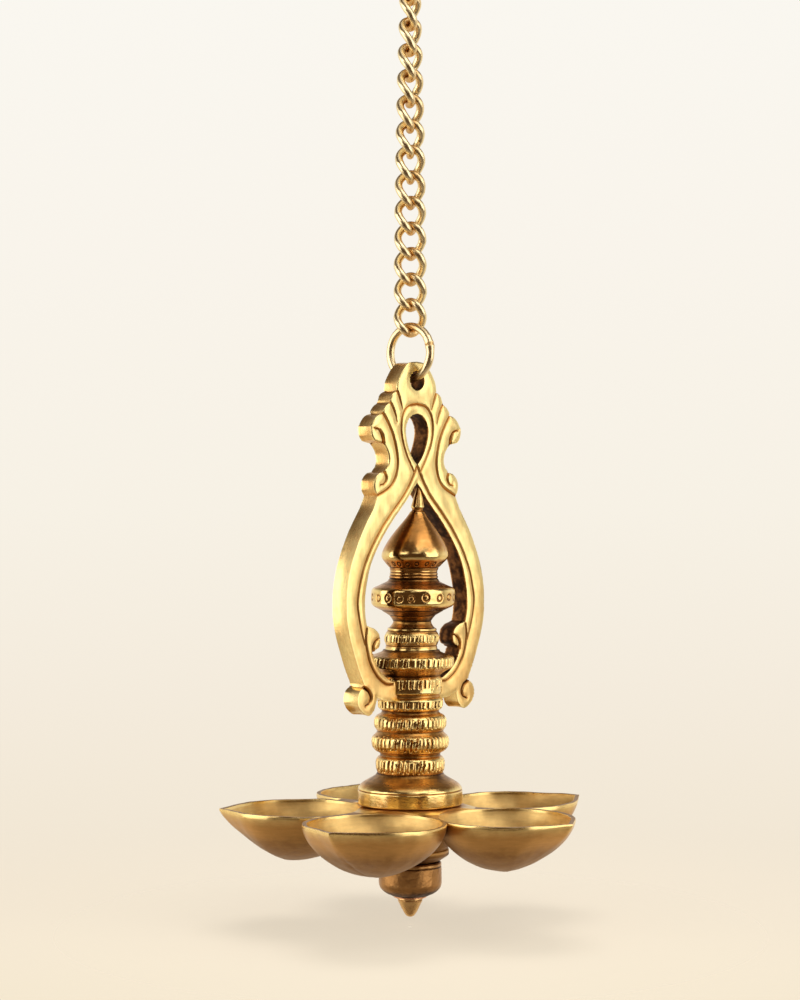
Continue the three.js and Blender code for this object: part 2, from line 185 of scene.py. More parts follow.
def make_piece(name, points, faces, body, material, nodes, patina_and_shade, sharp=38):
    """A piece from points in millimetres and arrays of faces. It rides on a body and stands for CAD nodes."""
    mesh = bpy.data.meshes.new(name)
    corners = np.concatenate([np.asarray(f).ravel() for f in faces]).astype(np.int32)
    sizes = np.concatenate([np.full(len(f), np.shape(f)[1]) for f in faces])
    mesh.vertices.add(len(points))
    mesh.vertices.foreach_set("co", (np.asarray(points) * MM).astype(np.float32).ravel())
    mesh.loops.add(len(corners))
    mesh.loops.foreach_set("vertex_index", corners)
    mesh.polygons.add(len(sizes))
    mesh.polygons.foreach_set("loop_start", (np.cumsum(sizes) - sizes).astype(np.int32))
    mesh.update(calc_edges=True)
    mesh.validate()
    return finish_piece(name, mesh, body, material, nodes, patina_and_shade, sharp)


def finish_piece(name, mesh, body, material, nodes, patina_and_shade, sharp):
    """Shading, patina with painted shade, material and the frame's calls for a mesh in metres."""
    mesh.shade_smooth()
    mesh.set_sharp_from_angle(angle=math.radians(sharp))
    stored = mesh.attributes.new("patina_and_shade", "FLOAT", "POINT")
    stored.data.foreach_set("value", np.clip(patina_and_shade, 0, 1).astype(np.float32))
    mesh.materials.append(material)
    piece = bpy.data.objects.new(name, mesh)
    bpy.context.scene.collection.objects.link(piece)
    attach(piece, body)
    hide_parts(*nodes)
    return piece


def plain_object(name, points, faces):
    """An object without material from points in millimetres"""
    mesh = bpy.data.meshes.new(name)
    corners = [tuple(face) for group in faces for face in group.tolist()]
    mesh.from_pydata((np.asarray(points) * MM).tolist(), [], corners)
    thing = bpy.data.objects.new(name, mesh)
    bpy.context.scene.collection.objects.link(thing)
    return thing


# Materials

def node_maker(owner):
    """Clears the nodes of a material or world and returns a function that adds one. Plain values go to the
    node's inputs in order, and named ones to the setting or input of that name, with _ for a space. A value
    that is a node or an output is linked."""
    owner.use_nodes = True
    tree = owner.node_tree
    tree.nodes.clear()

    def fill(socket, value):
        if isinstance(value, bpy.types.Node):
            value = value.outputs[0]
        if isinstance(value, bpy.types.NodeSocket):
            tree.links.new(value, socket)
        else:
            socket.default_value = value

    def add(kind, *values, **named):
        node = tree.nodes.new("ShaderNode" + kind)
        for key, value in named.items():
            if hasattr(node, key):
                setattr(node, key, value)
            else:
                fill(node.inputs[key.replace("_", " ")], value)
        for socket, value in zip(node.inputs, values):
            fill(socket, value)
        return node

    return add


def colour_ramp(add, value, stops, interpolation="LINEAR"):
    """A ramp through stops of (position, colour)"""
    node = add("ValToRGB", value)
    ramp = node.color_ramp
    ramp.interpolation = interpolation
    for index in (0, -1):
        ramp.elements[index].position, ramp.elements[index].color = stops[index][0], (*stops[index][1], 1)
    for position, colour in stops[1:-1]:
        ramp.elements.new(position).color = (*colour, 1)
    return node


def brass(name, bright, middle, dark, roughness, grain, uneven_share, rough_cast_share):
    """Worn brass: a pale or golden metal that goes brown where the patina and painted shade are. Grain is
    "turned" for pieces worked on a lathe round the lamp's axis, "cups" where the streaks run round each oil
    cup,
    "brushed" for the frame, "wire" for the smooth chain and "cast" for what was left rough."""
    material = bpy.data.materials.new(name)
    add = node_maker(material)
    place = add("TexCoord").outputs["Object"]

    def noise(source, scale, detail, rough):
        return add("TexNoise", Vector=source, Scale=scale, Detail=detail, Roughness=rough).outputs["Fac"]

    def plus(first, second, clamp=False):
        return add("Math", first, second, operation="ADD", use_clamp=clamp)

    def times(first, second, clamp=False):
        return add("Math", first, second, operation="MULTIPLY", use_clamp=clamp)

    # Streaks left by the tool: round the axis on a lathe, along the frame when it was brushed
    if grain == "turned":
        x, y, z = add("SeparateXYZ", place).outputs
        reach = add("Math", plus(times(x, x), times(y, y)), operation="SQRT")
        angle = times(add("Math", y, x, operation="ARCTAN2"), 0.0035)
        streaks = noise(add("CombineXYZ", angle, reach, z), 900.0, 4.0, 0.7)
    elif grain == "cups":
        streaks = noise(add("Attribute", attribute_name="round_cups").outputs["Vector"], 800.0, 4.0, 0.7)
    elif grain == "brushed":
        streaks = noise(add("Mapping", place, Scale=(1, 1, 0.12)), 700.0, 4.0, 0.7)
    else:
        streaks = noise(place, 220.0, 4.0, 0.7)

    # Colour: the patina and painted shade, made uneven, pick it from the ramp
    clouds = noise(place, 55.0, 4.0, 0.6)
    mottle = noise(place, 260.0, 3.0, 0.6)
    patina_and_shade = add("Attribute", attribute_name="patina_and_shade").outputs["Fac"]
    uneven = times(plus(clouds, -0.5), uneven_share)
    speckle = times(plus(mottle, -0.5), uneven_share)
    tarnish_and_shade = plus(plus(patina_and_shade, uneven), speckle, clamp=True)
    colour = colour_ramp(add, tarnish_and_shade, [(0.02, bright), (0.42, middle), (0.95, dark)], "EASE")
    streaked = add("MapRange", streaks, 0.3, 0.75, 0.88, 1.08)
    tint = add("VectorMath", colour, operation="SCALE", Scale=streaked)
    dulled = plus(times(tarnish_and_shade, 0.26), times(streaks, 0.12))

    # Relief too fine for the mesh: tool marks and the casting's pits
    scratch = add("Bump", Strength=0.0 if grain == "wire" else 0.16, Distance=0.0004, Height=streaks)
    spots = add("TexVoronoi", Vector=place, Scale=210.0).outputs["Distance"]
    pits = times(add("MapRange", spots, 0.0, 0.22, 0.0, 1.0), patina_and_shade)
    pitted = plus(times(mottle, 0.8), times(pits, 0.4))
    strength = times(plus(patina_and_shade, 0.35), rough_cast_share, clamp=True)
    cast = add("Bump", Strength=strength, Distance=0.0006, Height=pitted, Normal=scratch)
    shader = add("BsdfPrincipled", Metallic=1.0, Base_Color=tint, Normal=cast,
                 Roughness=plus(dulled, roughness - 0.06))
    add("OutputMaterial", Surface=shader)
    return material


turned_brass = brass("turned_brass", (0.96, 0.72, 0.29), (0.66, 0.34, 0.09), (0.075, 0.023, 0.006), 0.16,
                     "turned", 0.50, 0.32)
polished_brass = brass("polished_brass", (0.95, 0.71, 0.29), (0.58, 0.27, 0.07), (0.050, 0.016, 0.005), 0.12,
                       "turned", 0.40, 0.16)
tray_brass = brass("tray_brass", (0.94, 0.68, 0.27), (0.56, 0.30, 0.095), (0.16, 0.070, 0.022), 0.27,
                   "cups", 0.16, 0.10)
bowl_brass = brass("bowl_brass", (0.92, 0.66, 0.26), (0.54, 0.29, 0.09), (0.15, 0.065, 0.020), 0.42,
                   "cups", 0.20, 0.10)
frame_brass = brass("frame_brass", (0.96, 0.77, 0.33), (0.76, 0.42, 0.13), (0.11, 0.034, 0.009), 0.29,
                    "brushed", 0.24, 0.10)
side_brass = brass("side_brass", (0.96, 0.73, 0.31), (0.72, 0.38, 0.11), (0.14, 0.045, 0.012), 0.20,
                   "brushed", 0.34, 0.10)
recess_brass = brass("recess_brass", (0.82, 0.46, 0.15), (0.34, 0.14, 0.04), (0.040, 0.014, 0.005), 0.34,
                     "cast", 1.0, 0.5)
chain_brass = brass("chain_brass", (1.0, 0.83, 0.50), (0.80, 0.52, 0.22), (0.22, 0.09, 0.03), 0.27,
                    "wire", 0.12, 0.0)
knob_brass = brass("knob_brass", (0.80, 0.50, 0.20), (0.42, 0.21, 0.07), (0.06, 0.022, 0.007), 0.24,
                   "turned", 0.60, 0.55)
copper = brass("copper", (0.85, 0.42, 0.22), (0.48, 0.19, 0.09), (0.12, 0.04, 0.02), 0.32, "turned", 0.4, 0.1)


# Chain, ring and hook

def tube(path, frames, radius, sides, closed):
    """Round wire along a path. Frames are two unit vectors across the path at each point."""
    angle = circle(sides)[None, :, None]
    across = frames[0][:, None] * np.cos(angle) + frames[1][:, None] * np.sin(angle)
    points = path[:, None] + across * np.broadcast_to(radius, len(path))[:, None, None]
    return points.reshape(-1, 3), grid_faces(len(path), sides, close_rows=closed)


def frames_along(path, closed, start=(0, 0, 1)):
    """Two vectors across a path at each point, carried along it without twist"""
    ahead = ahead_along(path, closed)
    side = np.cross(ahead[0], start)
    sides = []
    for direction in ahead:
        side = side - direction * (side @ direction)
        side = side / np.linalg.norm(side)
        sides.append(side)
    sides = np.array(sides)
    return sides, np.cross(ahead, sides)


WIRE = 3.4  # of the links and the ring
WORN_ROUND = 0.13  # polished wire stands this much proud of its nominal radius
LINK_COUNT = sum(name.startswith("chain_link_") for name in frame["nodes"])
LINK_HALF_WIDTH = 5.8  # to the middle of the wire
LINK_STEPS, LINK_SIDES = 96, 20
CROWN_TWIST = math.radians(51)  # from a link's middle to each of its crowns
LINK_TURN = math.radians(6.3)  # each link hangs turned from the one below
LOWEST_LINK_ANGLE = math.radians(-42)


def curb_link_path(half_width, half_height):
    """An oval whose two crowns are turned to opposite sides"""
    angle = circle(LINK_STEPS)
    height = half_height * np.sin(angle)
    return polar(half_width * np.cos(angle), -CROWN_TWIST * height / half_height, height)


def closing_frames(path):
    """Frames of a closed path that meet where it closes"""
    first, second = frames_along(path, closed=True)
    ahead = path[1] - path[-1]
    ahead /= np.linalg.norm(ahead)
    end = first[-1] - ahead * (first[-1] @ ahead)
    end /= np.linalg.norm(end)
    slip = math.atan2(np.cross(end, first[0]) @ ahead, end @ first[0])
    share = np.arange(len(path))[:, None] / len(path) * slip
    return first * np.cos(share) + second * np.sin(share), second * np.cos(share) - first * np.sin(share)


def make_chain():
    """Curb links, each closed with a weld on one side and worn where it bears on its neighbours"""
    rng = np.random.default_rng(11)
    angle = circle(LINK_STEPS)
    for number in range(1, LINK_COUNT + 1):
        low, high = box_mm(f"chain_link_{number:02d}")
        path = curb_link_path(LINK_HALF_WIDTH, (high[2] - low[2] - WIRE) / 2)
        seam = 0.12 * hump(half_turn(angle - math.pi * (number % 2)), 0.09)
        wear = 0.12 * hump(np.abs(np.sin(angle)) - 1, 0.05)
        radius = WIRE / 2 + WORN_ROUND + seam - wear
        points, faces = tube(path, closing_frames(path), radius, LINK_SIDES, closed=True)
        points += wobble(points, 9, 0.05, 100 + number)
        points = turned_about(points, LOWEST_LINK_ANGLE + (number - 1) * LINK_TURN, (low[2] + high[2]) / 2)
        # Painted shade darkens each crown, where it hangs in the next link
        crown_shade = np.repeat(np.abs(np.sin(angle)) ** 6, LINK_SIDES)
        patina_and_shade = 0.06 + 0.5 * crown_shade + 0.06 * rng.uniform(-1, 1)
        make_piece(f"curb_link_{number:02d}", points, [faces], f"link_{number:02d}", chain_brass,
                   [f"chain_link_{number:02d}"], patina_and_shade)


RING_ANGLE = math.radians(-83.2)
RING_SEAM = math.radians(14)  # height of the weld over the ring's middle, on its near side
RING_FULLER = WORN_ROUND + 0.05
RING_STEPS, RING_SIDES = 160, 24


def make_ring():
    """The split ring, with the swellings and the gap of its seam"""
    low, high = box_mm("hanging_ring")
    radius = (high[2] - low[2] - WIRE) / 2
    angle = circle(RING_STEPS)
    outward = np.stack([np.cos(angle), 0 * angle, np.sin(angle)], 1)
    frames = (outward, np.tile([0.0, -1.0, 0.0], (RING_STEPS, 1)))
    off = half_turn(angle - RING_SEAM) * radius
    swell = 0.42 * hump(off, 1.7) - 0.38 * hump(off - 0.2, 0.35) + 0.16 * hump(off - 3.4, 0.9)
    points, faces = tube(radius * outward, frames, WIRE / 2 + RING_FULLER + swell, RING_SIDES, closed=True)
    points += wobble(points, 11, 0.05, 5)
    points = turned_about(points, RING_ANGLE, (low[2] + high[2]) / 2)
    # Painted shade darkens the ring's top and bottom, where it hangs in the link and the frame
    patina_and_shade = 0.1 + 0.5 * hump(off - 0.2, 0.6) + 0.35 * np.abs(np.sin(angle)) ** 8
    make_piece("split_ring", points, [faces], "ring", chain_brass, ["hanging_ring"],
               np.repeat(patina_and_shade, RING_SIDES))


HOOK_WIRE = 3.6
HOOK_UPPER = 9.2 + HOOK_WIRE / 2  # to the middle of the wire
HOOK_LOWER = 5.5 + HOOK_WIRE / 2
HOOK_SWEEPS = (250, 305)  # degrees that the open crook and the closed crook go round
HOOK_SIDES = 24


def make_hook():
    """An open crook over the ceiling fixing and a nearly closed one that carries the top link"""
    upper = np.radians(np.linspace(270 - HOOK_SWEEPS[0], 270, 80))
    lower = np.radians(np.linspace(90, 90 - HOOK_SWEEPS[1], 64))[1:]
    upper_centre = HOOK_WIRE / 2 - HOOK_UPPER
    lower_centre = upper_centre - HOOK_UPPER - HOOK_LOWER
    path = np.vstack([polar(HOOK_UPPER, upper, 0) + [0, upper_centre, 0],
                      polar(HOOK_LOWER, lower, 0) + [0, lower_centre, 0]])[:, [0, 2, 1]]
    gone = distance_along(path)
    to_end = np.minimum(gone, gone[-1] - gone)
    into_end = 1 - np.clip(to_end / (HOOK_WIRE / 2), 0.02, 1)
    radius = HOOK_WIRE / 2 * np.sqrt(np.clip(1 - into_end ** 2, 0.02, 1))
    points, faces = tube(path, frames_along(path, False, (0, 1, 0)), radius, HOOK_SIDES, closed=False)
    points += wobble(points, 14, 0.08, 6)
    first_cap = np.arange(HOOK_SIDES)[None]
    caps = [first_cap[:, ::-1], first_cap + len(points) - HOOK_SIDES]
    top_crown = LOWEST_LINK_ANGLE + (LINK_COUNT - 1) * LINK_TURN - CROWN_TWIST
    points = turned_about(points, top_crown + math.pi / 2)
    patina_and_shade = np.repeat(0.15 + 0.3 * np.exp(-to_end / 2.5), HOOK_SIDES)
    make_piece("hook_wire", points, [faces, *caps], "hook", chain_brass, ["ceiling_hook"], patina_and_shade)


# Turned pieces

TURNED_SIDES = 450
HOLLOW = 4.5  # how far beside a wider rim patina and painted shade reach, and the depth where they are darkest
SOFT_END = 0.5  # length over which a notch runs out


def column_lean(level):
    """How far the hand-fitted column stands off its axis, which grows from the knurled disc to the tip"""
    return np.interp(level - RIM, [58, 108, 147], [0.0, 1.7, 4.0])


def notches(angle, height, radius, band, seed):
    """Depth of hand-cut knurling. A band is (low, high, notches round, depth, slant in millimetres)."""
    low, high, count, depth, slant = band
    rng = np.random.default_rng(seed)
    shift = rng.uniform(-0.16, 0.16, count)
    lean = slant + rng.uniform(-0.45, 0.45, count)
    deep = depth * rng.uniform(0.35, 1.1, count)
    broad = rng.uniform(0.17, 0.31, count)
    top = high - rng.uniform(0, 0.16, count) * (high - low)
    foot = low + rng.uniform(0, 0.16, count) * (high - low)
    pitch = TURN / count
    cut = np.zeros_like(angle)
    for neighbour in (-1, 0, 1):
        index = (np.round(angle / pitch).astype(int) + neighbour) % count
        tilt = lean[index] * (height - (low + high) / 2) / (high - low) / radius
        off = half_turn(angle - (index + shift[index]) * pitch - tilt) / pitch
        across = np.clip(1 - (np.abs(off) / broad[index]) ** 1.6, 0, 1)
        foot_end = np.clip((height - foot[index]) / SOFT_END, 0, 1)
        top_end = np.clip((top[index] - height) / SOFT_END, 0, 1)
        cut = np.maximum(cut, deep[index] * across * np.sqrt(foot_end * top_end))
    return cut


def punches(angle, height, radius, row, seed):
    """Depth of a row of punched circles. A row is (height, count, outer radius, inner radius, depth)."""
    level, count, outer, inner, depth = row
    rng = np.random.default_rng(seed)
    pitch = TURN / count
    shift = rng.uniform(-0.12, 0.12, count)
    raised = rng.uniform(-0.3, 0.3, count)
    index = np.round(angle / pitch).astype(int) % count
    across = half_turn(angle - (index + shift[index]) * pitch) * radius
    away = np.hypot(across, height - level - raised[index])
    return depth * np.clip(1 - ((away - (outer + inner) / 2) / ((outer - inner) / 2)) ** 2, 0, 1)


def turned_piece(name, node, outline, material, bands=(), row=None, seed=0, blind=None, grooves=(),
                 step=0.34, tone=0.0, span=None, rough=0.018):
    """A lathe-turned piece. Its outline is a list of (share of the height, radius, fillet) from foot to top.
    Bands, row and grooves are cut into it. Grooves are (share, depth, half width). A blind share closes the
    bore at that height, and the outline then ends or starts on the axis. Rough is the size of its fine
    unevenness. It takes its foot and height from the node, or from the span."""
    foot, height = span or turned_size(node)[:2]
    outside = rounded([(radius, foot + height * share, fillet) for share, radius, fillet in outline], step)
    recess = np.zeros(len(outside))
    for share, depth, half in grooves:
        cut = depth * np.clip(1 - ((outside[:, 1] - foot - height * share) / half) ** 2, 0, 1)
        outside[:, 0] -= cut
        recess = np.maximum(recess, cut / max(depth, 0.3))

    # Hollows next to a wider rim hold patina and get painted shade, and edges that stand proud are worn
    # bright
    gone = distance_along(outside)
    apart = np.abs(gone[:, None] - gone[None])
    rim = np.where(apart < HOLLOW, outside[None, :, 0], 0).max(1)
    hollow = np.clip((rim - outside[:, 0]) / HOLLOW, 0, 1) ** 0.8
    smooth = hump(apart, 1.1)
    bulge = outside[:, 0] - smooth / smooth.sum(1)[:, None] @ outside[:, 0]
    profile_patina_and_shade = 0.10 + tone + 0.52 * hollow + 0.40 * recess - 1.1 * np.clip(bulge, -0.3, 0.3)

    sides = TURNED_SIDES
    around, level = np.meshgrid(circle(sides), outside[:, 1])
    reach = np.repeat(outside[:, :1], sides, 1)
    cut, stamped = np.zeros_like(reach), np.zeros_like(reach)
    for index, (low, high, *cutting) in enumerate(bands):
        band = (foot + height * low, foot + height * high, *cutting)
        cut = np.maximum(cut, notches(around, level, max(r for _, r, _ in outline), band, seed + index))
    if row:
        at = foot + height * row[0]
        there = np.interp(at, np.maximum.accumulate(outside[:, 1]), outside[:, 0])
        stamped = punches(around, level, there, (at, *row[1:]), seed + 7)
    visible = reach > BORE + 0.5
    reach = np.where(visible, reach - cut - stamped, reach)
    points = polar(reach, around, level).reshape(-1, 3)
    uneven = wobble(points, 24, 0.07, seed + 3) + wobble(points, 1.7, rough, seed + 4)
    points += uneven * visible.reshape(-1, 1)
    points += np.outer(column_lean(points[:, 2]), RIGHT)
    patina_and_shade = profile_patina_and_shade[:, None] + 0.42 * np.clip(cut / 0.8, 0, 1) + 0.75 * np.clip(stamped / 0.4, 0, 1)

    # Inside: a through bore, or a blind one that ends in a flat with its middle on the axis
    before, after = [], []
    end, low, high = foot + height * (blind or 0), outside[0, 1], outside[-1, 1]
    if blind is None:
        after = [(BORE, high), (BORE, low)]
    elif outline[0][1] == 0:
        after = [(BORE, high), (BORE, end), (0, end)]
    else:
        before = [(0, end), (BORE, end), (BORE, low)]
    first, last = ([polar(radius, circle(sides), z) for radius, z in rings] for rings in (before, after))
    points = np.vstack([*first, points, *last])
    patina_and_shade = np.pad(patina_and_shade.ravel(), (len(before) * sides, len(after) * sides), constant_values=0.8)
    rings = len(points) // sides
    if blind is None:
        faces = [grid_faces(rings, sides, close_rows=True)]
    else:
        # The first and the last ring are one point each
        points, patina_and_shade = points[sides - 1:1 - sides], patina_and_shade[sides - 1:1 - sides]
        first, pole = np.arange(sides) + 1, np.zeros(sides, int)
        last = first + len(points) - sides - 2
        faces = [grid_faces(rings - 2, sides) + 1, np.stack([pole, np.roll(first, -1), first], 1),
                 np.stack([last, np.roll(last, -1), pole + len(points) - 1], 1)]
    make_piece(name, points, faces, "lamp", material, [node], patina_and_shade, sharp=50)


# Where the two blind bores end: the rod's length inside and a gap, as a share of the piece's height
FINIAL_BLIND = (12.0 + 0.6) / 38.5
DRIP_BLIND = 1 - (3.2 + 0.6) / 9.0


def make_column():
    """The turned pieces on the tie rod, from the base up to the finial, and then those under the tray"""
    turned_piece("turned_base", "base_flare", [
        (0, 23.2, 0), (0.03, 23.8, 0.4), (0.51, 23.8, 1.4), (0.63, 22.6, 1.2), (0.74, 20.4, 1.5),
        (0.83, 18.0, 1.5), (0.92, 15.9, 1.5), (1, 15.1, 0),
    ], turned_brass, seed=20, grooves=[(0.47, 0.3, 0.35)], tone=0.05, rough=0.005)
    turned_piece("lower_rings", "stem_lower", [
        (0, 14.9, 0), (0.09, 15.6, 0.5), (0.17, 15.8, 0.8), (0.29, 15.8, 0.8), (0.37, 15.1, 0.6),
        (0.42, 13.5, 0.8), (0.48, 14.0, 0.7), (0.53, 16.0, 0.8), (0.62, 17.5, 0.9), (0.77, 17.9, 1.2),
        (0.87, 17.4, 0.8), (0.95, 15.6, 0.7), (1, 15.0, 0),
    ], turned_brass, [(0.03, 0.35, 40, 0.8, 0.5), (0.54, 0.92, 44, 0.85, 0.6)], seed=30)
    turned_piece("upper_rings", "stem_upper", [
        (0, 15.2, 0), (0.12, 16.3, 0.6), (0.2, 16.6, 0.8), (0.38, 16.6, 0.9), (0.5, 15.6, 0.7),
        (0.58, 13.4, 0.8), (0.66, 12.9, 0.6), (0.70, 14.0, 0.4), (0.78, 14.9, 0.5), (0.95, 15.0, 0.3),
        (1, 15.0, 0),
    ], turned_brass, [(0.08, 0.5, 42, 0.8, 0.5), (0.72, 1.08, 40, 0.8, 0.4)], seed=40)
    turned_piece("knurled_plate", "knurled_disc", [
        (0, 13.6, 0), (0.1, 14.6, 0.7), (0.24, 17.2, 0.9), (0.34, 19.3, 0.7), (0.4, 19.7, 0.4),
        (0.68, 19.7, 0.5), (0.75, 19.0, 0.6), (0.84, 15.6, 1.2), (0.93, 13.2, 0.8), (1, 12.8, 0),
    ], turned_brass, [(0.32, 0.76, 46, 0.85, 0.5)], seed=50)
    turned_piece("neck_ring", "knurled_neck", [
        (0, 12.0, 0), (0.08, 11.7, 0.4), (0.2, 11.9, 0.5), (0.3, 12.5, 0.5), (0.46, 12.5, 0.5),
        (0.56, 12.0, 0.4), (0.62, 11.4, 0.4), (0.75, 11.2, 0.4), (0.8, 10.0, 0.5), (0.93, 8.8, 0.7),
        (1, 8.7, 0),
    ], turned_brass, [(0.22, 0.56, 40, 0.6, 0.35)], seed=60,
        grooves=[(0.13, 0.3, 0.3), (0.66, 0.3, 0.3), (0.78, 0.25, 0.3)])
    turned_piece("punched_plate", "punched_disc", [
        (0, 8.7, 0), (0.07, 9.6, 1.2), (0.13, 11.2, 1.0), (0.18, 13.2, 1.0), (0.23, 15.3, 1.0),
        (0.29, 18.2, 1.0), (0.35, 19.15, 0.6), (0.61, 19.2, 0.6), (0.655, 18.5, 0.7), (0.72, 14.9, 1.0),
        (0.79, 11.6, 1.0), (0.85, 11.2, 0.5), (1, 10.8, 0),
    ], polished_brass, row=(0.476, 19, 1.85, 0.95, 0.36), seed=70, tone=0.08, rough=0.008, grooves=[
        (0.11, 0.25, 0.3), (0.21, 0.3, 0.35), (0.84, 0.35, 0.35), (0.9, 0.35, 0.35), (0.96, 0.3, 0.3),
    ])
    turned_piece("finial_turned", "finial", [
        (0, 11.0, 0), (0.03, 11.4, 0.4), (0.13, 14.9, 0.7), (0.165, 15.4, 0.5), (0.205, 15.3, 1.2),
        (0.26, 14.5, 3.0), (0.34, 12.9, 3.0), (0.415, 11.0, 3.0), (0.49, 8.9, 3.0), (0.57, 6.5, 3.0),
        (0.64, 4.5, 2.0), (0.69, 3.4, 0.5), (0.70, 2.9, 0.3), (0.715, 2.5, 0.3), (0.73, 2.6, 0.2),
        (0.745, 3.15, 0.3), (0.87, 2.1, 0.5), (0.975, 1.05, 0.3), (1.01, 0.6, 0.3), (1.02, 0.0, 0),
    ], polished_brass, row=(0.075, 20, 1.15, 0.5, 0.28), seed=80, tone=0.04, rough=0.006,
        blind=FINIAL_BLIND, grooves=[(0.03, 0.25, 0.25)])
    turned_piece("round_knob", "bottom_knob", [
        (0, 8.6, 0), (0.02, 9.4, 0.4), (0.08, 11.3, 1.2), (0.16, 12.9, 1.6), (0.24, 13.9, 1.6),
        (0.34, 14.4, 1.6), (0.6, 14.4, 2.0), (0.955, 14.3, 0.5), (1, 13.6, 0),
    ], knob_brass, seed=90, grooves=[(0.03, 0.25, 0.35), (0.86, 0.25, 0.4)], tone=0.36,
        rough=0.03)
    turned_piece("thin_washer", "tip_washer", [
        (0, 7.2, 0), (0.2, 7.5, 0.15), (0.8, 7.5, 0.15), (1, 7.2, 0),
    ], copper, seed=95, step=0.2)
    turned_piece("drip_tip", "drip_nut", [
        (0, 0.0, 0), (0.01, 0.9, 0.4), (0.05, 1.7, 0.5), (0.22, 2.9, 1.2), (0.44, 3.9, 1.2),
        (0.66, 4.8, 1.2), (0.84, 5.6, 0.6), (0.93, 5.9, 0.3), (1, 5.75, 0),
    ], knob_brass, seed=98, blind=DRIP_BLIND, grooves=[(0.88, 0.3, 0.3)], tone=-0.22)


def make_eye():
    """The knurled eye at the foot of the pierced frame, which the stem is clamped through"""
    turned_piece("frame_eye", "pierced_frame", [
        (0, 15.0, 0), (0.05, 14.9, 0.3), (0.11, 14.2, 0.3), (0.15, 13.4, 0.3), (0.24, 13.4, 0.3),
        (0.29, 14.3, 0.4), (0.35, 14.6, 0.4), (0.44, 14.5, 0.4), (0.86, 14.6, 0.6), (0.94, 13.9, 0.5),
        (1, 13.4, 0),
    ], turned_brass, [(0.45, 0.93, 38, 0.8, 0.4)], seed=45, span=(RIM + EYE_FOOT, EYE_HEIGHT))


# Pierced frame

HEAD_EDGE, ARM_EDGE, INNER_EDGE = 0.6, 0.2, 0.25  # rounding of the edges of both faces
HEAD_EDGE_LEVELS = (138, 146)  # where the head's wider rounding begins
FRAME_HALF = 5.1  # half of its thickness, before the relief
HOLE_LEVEL, HOLE_RADIUS = 194.6, 4.5  # where the ring goes through
EDGE_LINES = (0.09, 0.2, 0.5, 0.9)  # points are laid this far beside the edges
OUTLINE_STEP, GROOVE_STEP, GRID_STEP = 0.42, 0.3, 0.48
EDGE_CLEAR, GROOVE_CLEAR = 1.2, 0.2  # that the grid keeps from the edges and grooves
CELL = 0.16  # that holds one point beside an edge or groove at most
WALL_LEVELS = 9

# The frame's outline, window and teardrop, each as its right half: (across, height over the rim). Each
# stretch goes on from the corner where the one before ended.
HEAD_CURVES = [
    [(0, 203.3), (4.4, 202.7), (7.3, 200.4), (9.9, 196.9), (11.6, 193.5), (12.2, 189.6)],
    [(14.6, 188.2), (15.8, 185.9), (16.3, 184.2)],
    [(18.5, 182.8), (20.1, 180.9), (20.7, 179.2)],
    [(23.2, 178.4), (25.4, 176.6), (27.6, 173.3)],
    [(27.6, 171.2), (26.9, 168.6), (25.4, 166.8)],
    [(23.2, 166.3), (20.6, 165.8)],
    [(19.1, 164.2), (17.7, 162.1), (17.0, 159.7), (17.0, 157.3), (18.0, 155.0), (20, 152.9)],
    [(22.7, 152.2), (25.0, 150.0), (25.9, 147.1), (25.4, 144.3), (24, 142.2)],
    [(26.2, 136.9), (29.9, 131.2), (33.2, 125.7), (36, 120.1), (38.8, 113.5), (40.9, 106.7), (42.1, 99.6),
     (42.4, 92.9), (42.1, 86.9), (40.9, 80.7), (38.9, 74.4), (36.7, 68.3), (34.4, 62.8), (32.3, 58.4),
     (32.2, 56.7)],
    [(34.7, 54.8), (35.9, 51.6), (35.4, 48.5), (33, 45.5), (29.6, 43.8), (27.1, 45.0), (25.5, 47.5),
     (24.4, 51.7)],
    [(20.5, 50.1), (16, 49.2), (12.2, 49.3)],
]
WINDOW_CURVES = [
    [(0, 148.2), (2.3, 145.6), (4.2, 143), (6.6, 140.1), (10.3, 136.0), (14.2, 131.8), (18, 127.3),
     (21.9, 122.1), (25.3, 116.7), (28.1, 111.1), (29.9, 105), (31.2, 98.9), (31.6, 93.1), (31.3, 88.2),
     (30.4, 84.1)],
    [(28.6, 83.4), (25.9, 82.5), (23.3, 80.2), (22.5, 76.8), (23.1, 74.3), (25.3, 73)],
    [(26.5, 71.6), (26.2, 69.5), (24.8, 66.5), (22.5, 63.5), (19.6, 61), (16.5, 59), (14, 58.3),
     (12.2, 58.3)],
]
TEAR_CURVE = [(0, 179.7), (3.2, 178.7), (5.7, 176.2), (6.9, 172.6), (6.6, 168.5), (5.1, 163.7), (2.9, 159.4),
              (0, 156)]

